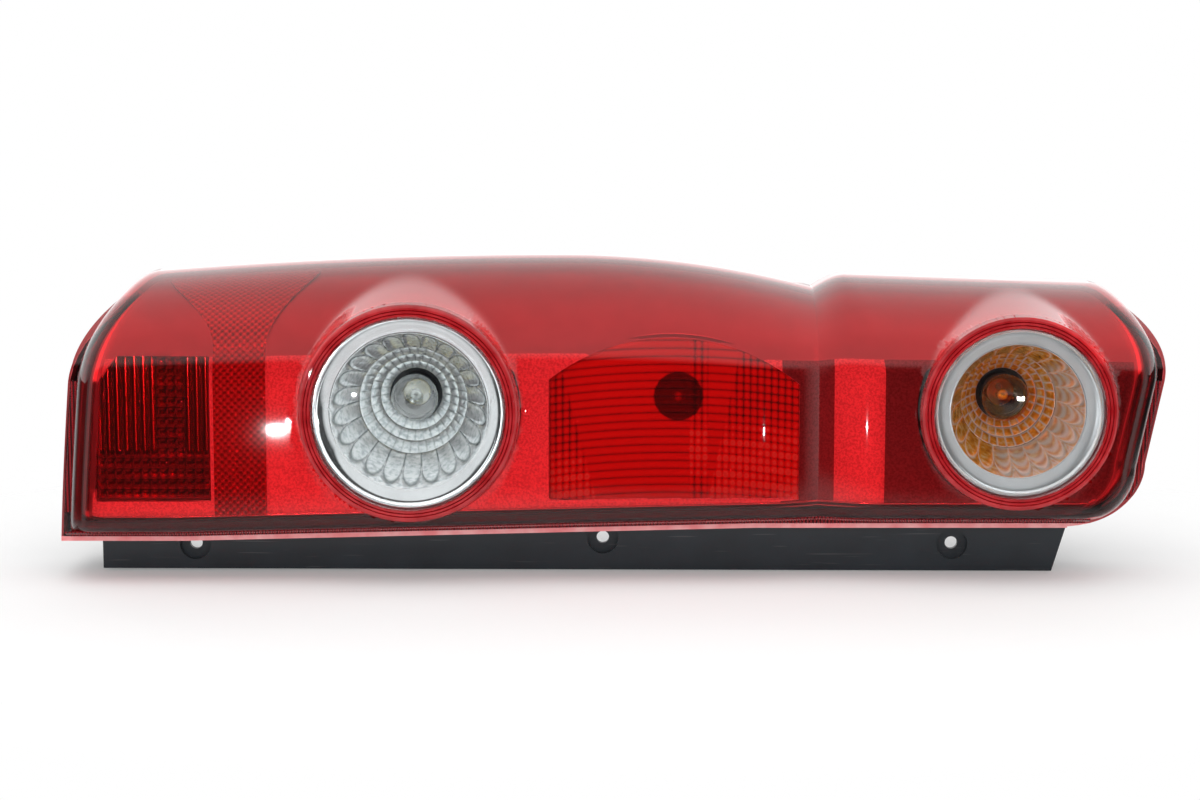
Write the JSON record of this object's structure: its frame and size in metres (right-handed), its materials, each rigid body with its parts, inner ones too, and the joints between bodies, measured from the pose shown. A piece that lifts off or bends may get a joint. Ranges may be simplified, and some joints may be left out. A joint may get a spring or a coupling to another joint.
{
  "type": "tail light cluster",
  "caption": "Wrap-round rear lamp cluster with a red lens, round reverse and indicator windows and a black screw flange.",
  "frame": {"origin": "middle screw hole of the flange, on the face that the screw head bears on", "axes": "+X along the lamp to the indicator end, +Y back into the vehicle's body, +Z from the screw flange to the side that wraps round the body"},
  "size_m": [0.5781, 0.1332, 0.165],
  "materials": {
    "red_lens": "gloss",
    "clear_window": "gloss",
    "black_housing": "satin",
    "bright_plating": "polished",
    "satin_plating": "satin",
    "bulb_glass": "gloss",
    "amber_glass": "gloss",
    "bulb_brass": "satin",
    "contact_brass": "satin",
    "black_foam": "matte",
    "zinc_steel": "satin"
  },
  "bodies": {
    "root": {"housing": "black_housing", "outer_lens": "red_lens", "reverse_window": "clear_window", "indicator_window": "clear_window", "reverse_ring": "bright_plating", "indicator_ring": "satin_plating", "inner_bezel": "satin_plating", "reverse_reflector": "bright_plating", "indicator_reflector": "bright_plating", "stop_reflector": "bright_plating", "fog_reflector": "bright_plating", "stop_optic": "red_lens", "fog_optic": "red_lens", "reflex_panel": "red_lens", "reverse_bulb_glass": "bulb_glass", "reverse_bulb_cap": "bulb_brass", "indicator_bulb_glass": "amber_glass", "indicator_bulb_cap": "bulb_brass", "stop_bulb_glass": "bulb_glass", "stop_bulb_cap": "bulb_brass", "fog_bulb_glass": "bulb_glass", "fog_bulb_cap": "bulb_brass", "bulb_carrier": "black_housing", "contact_strips": "contact_brass", "connector_pins": "contact_brass", "carrier_gasket": "black_foam", "body_gasket": "black_foam", "carrier_screws": "zinc_steel", "bezel_screws": "zinc_steel", "vent_caps": "black_foam"}
  },
  "joints": []
}
